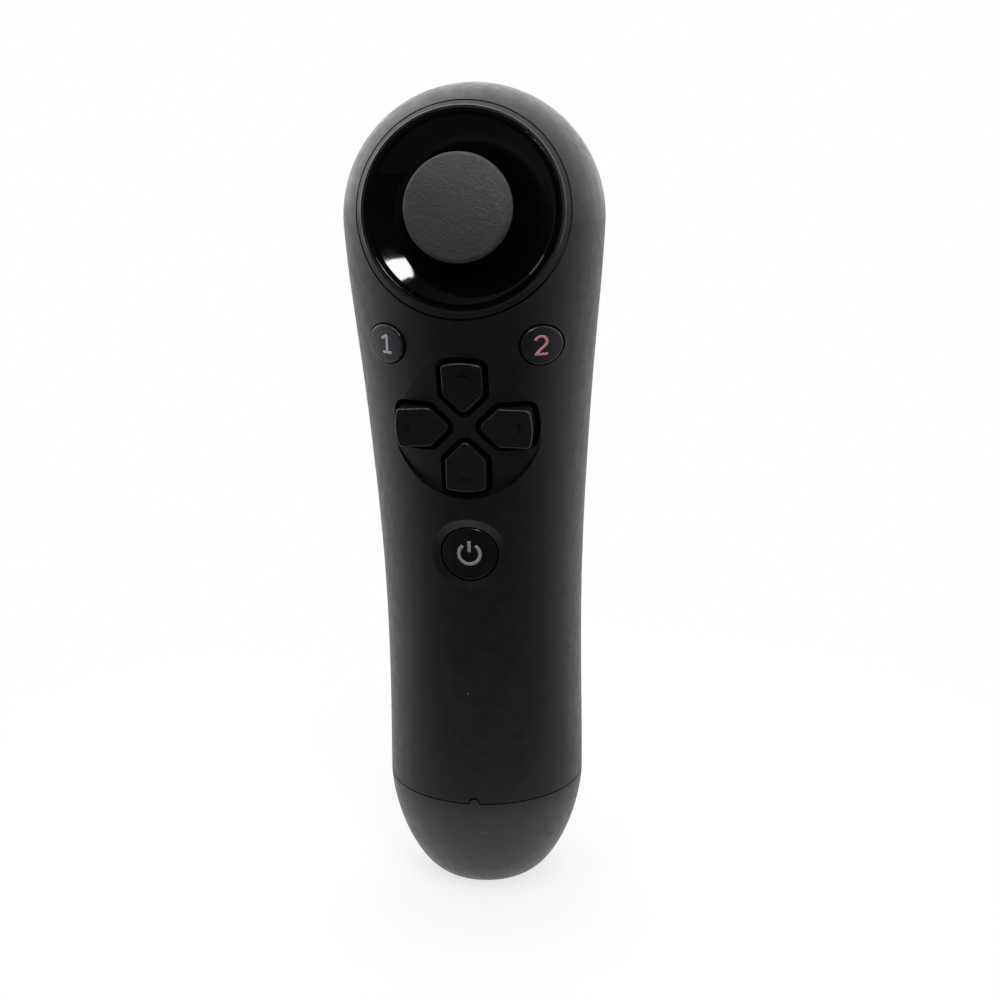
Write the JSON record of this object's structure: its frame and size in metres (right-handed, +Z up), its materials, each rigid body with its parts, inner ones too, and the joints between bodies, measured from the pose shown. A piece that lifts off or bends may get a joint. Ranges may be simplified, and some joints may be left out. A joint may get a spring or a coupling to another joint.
{
  "type": "motion navigation controller",
  "caption": "Handheld one-hand game controller: rounded grip with a thumb stick in a glossy dish, direction keys, action keys, a home key and two rear keys.",
  "frame": {"origin": "centre of the charging port's mouth, in the plane of the base cap's flat foot that the controller stands on", "axes": "+Z up along the grip, -Y out of the front where the stick and the keys are, +X to the right in the picture, as someone facing the keys sees it"},
  "size_m": [0.042, 0.0455, 0.138],
  "materials": {
    "shell": "fine grained matte black",
    "gloss": "polished black",
    "grip": "leather-grained dark grey",
    "key": "satin dark grey",
    "home": "satin black with a pale grey symbol",
    "inner_light": "moulded natural",
    "inner_dark": "moulded black",
    "steel": "bright",
    "board": "green solder mask",
    "chip": "black epoxy",
    "membrane": "grey silicone",
    "cell": "blue film wrap over a filled can",
    "lead": "flexible insulation",
    "ribbon": "amber film",
    "screw": "blackened"
  },
  "bodies": {
    "body": {"front_shell": "shell", "rear_shell": "shell", "base_cap": "shell", "dish_bezel": "gloss", "stick_housing": "steel", "stick_sensor_x": "inner_light", "stick_sensor_y": "inner_light", "stick_click_switch": "inner_light", "stick_spring": "steel", "stick_board": "board", "dpad_support": "inner_light", "main_board": "board", "main_chip": "chip", "radio_module": "steel", "battery_connector": "inner_light", "keypad_membrane": "membrane", "battery_tray": "inner_dark", "battery_pack": "cell", "battery_leads": "lead", "charging_port": "steel", "port_board": "board", "trigger_ribbon": "ribbon", "upper_button_pin": "steel", "trigger_pin": "steel", "trigger_spring": "steel", "trigger_bracket": "inner_dark", "rear_key_board": "board", "rear_key_pads": "membrane", "shell_screws": "screw", "board_screws": "screw"},
    "lower_rocker": {"lower_rocker": "inner_light"},
    "upper_rocker": {"upper_rocker": "steel"},
    "stick_pin": {"stick_pivot_pin": "steel"},
    "stick": {"stick_shaft": "inner_light", "stick_cap": "grip"},
    "dpad_ball": {"dpad_pivot_ball": "steel"},
    "dpad": {"dpad": "key"},
    "left_key": {"left_action_button": "key"},
    "right_key": {"right_action_button": "key"},
    "home_key": {"home_button": "home"},
    "upper_rear_key": {"upper_rear_button": "key"},
    "trigger": {"lower_trigger": "key"}
  },
  "joints": [
    {"name": "stick_tilt_up_down", "type": "hinge", "parent": "body", "child": "lower_rocker", "pos_m": [0, -0.0073, 0.117], "axis": [1, 0, 0], "range_deg": [-12, 12], "stiffness_Nm_per_rad": 0.03},
    {"name": "stick_tilt_sideways", "type": "hinge", "parent": "lower_rocker", "child": "stick_pin", "pos_m": [0, -0.0073, 0.117], "axis": [0, 0.1564, 0.9877], "range_deg": [-12, 12], "stiffness_Nm_per_rad": 0.03},
    {"name": "upper_rocker_turn", "type": "hinge", "parent": "body", "child": "upper_rocker", "pos_m": [0, -0.0073, 0.117], "axis": [0, 0.1564, 0.9877], "range_deg": [-12, 12]},
    {"name": "stick_press", "type": "slide", "parent": "stick_pin", "child": "stick", "axis": [0, 0.9877, -0.1564], "range_m": [0, 0.0004], "stiffness_N_per_m": 2000},
    {"name": "dpad_tilt_up_down", "type": "hinge", "parent": "body", "child": "dpad_ball", "pos_m": [0, -0.0146, 0.0857], "axis": [1, 0, 0], "range_deg": [-3, 3], "stiffness_Nm_per_rad": 0.1},
    {"name": "dpad_tilt_sideways", "type": "hinge", "parent": "dpad_ball", "child": "dpad", "pos_m": [0, -0.0146, 0.0857], "axis": [0, 0, 1], "range_deg": [-3, 3], "stiffness_Nm_per_rad": 0.1},
    {"name": "left_key_press", "type": "slide", "parent": "body", "child": "left_key", "axis": [0, 1, 0], "range_m": [0, 0.0009], "stiffness_N_per_m": 800},
    {"name": "right_key_press", "type": "slide", "parent": "body", "child": "right_key", "axis": [0, 1, 0], "range_m": [0, 0.0009], "stiffness_N_per_m": 800},
    {"name": "home_key_press", "type": "slide", "parent": "body", "child": "home_key", "axis": [0, 1, 0], "range_m": [0, 0.0006], "stiffness_N_per_m": 1000},
    {"name": "upper_rear_key_press", "type": "hinge", "parent": "body", "child": "upper_rear_key", "pos_m": [0, 0.006, 0.1286], "axis": [-1, 0, 0], "range_deg": [0, 4], "stiffness_Nm_per_rad": 0.3},
    {"name": "trigger_pull", "type": "hinge", "parent": "body", "child": "trigger", "pos_m": [0, 0.008, 0.1168], "axis": [-1, 0, 0], "range_deg": [0, 14], "stiffness_Nm_per_rad": 0.06, "springref_deg": -14.32, "deforming": ["trigger_spring"]}
  ],
  "couplings": [
    {"joint": "upper_rocker_turn", "follows": "stick_tilt_sideways", "ratio": 1}
  ]
}
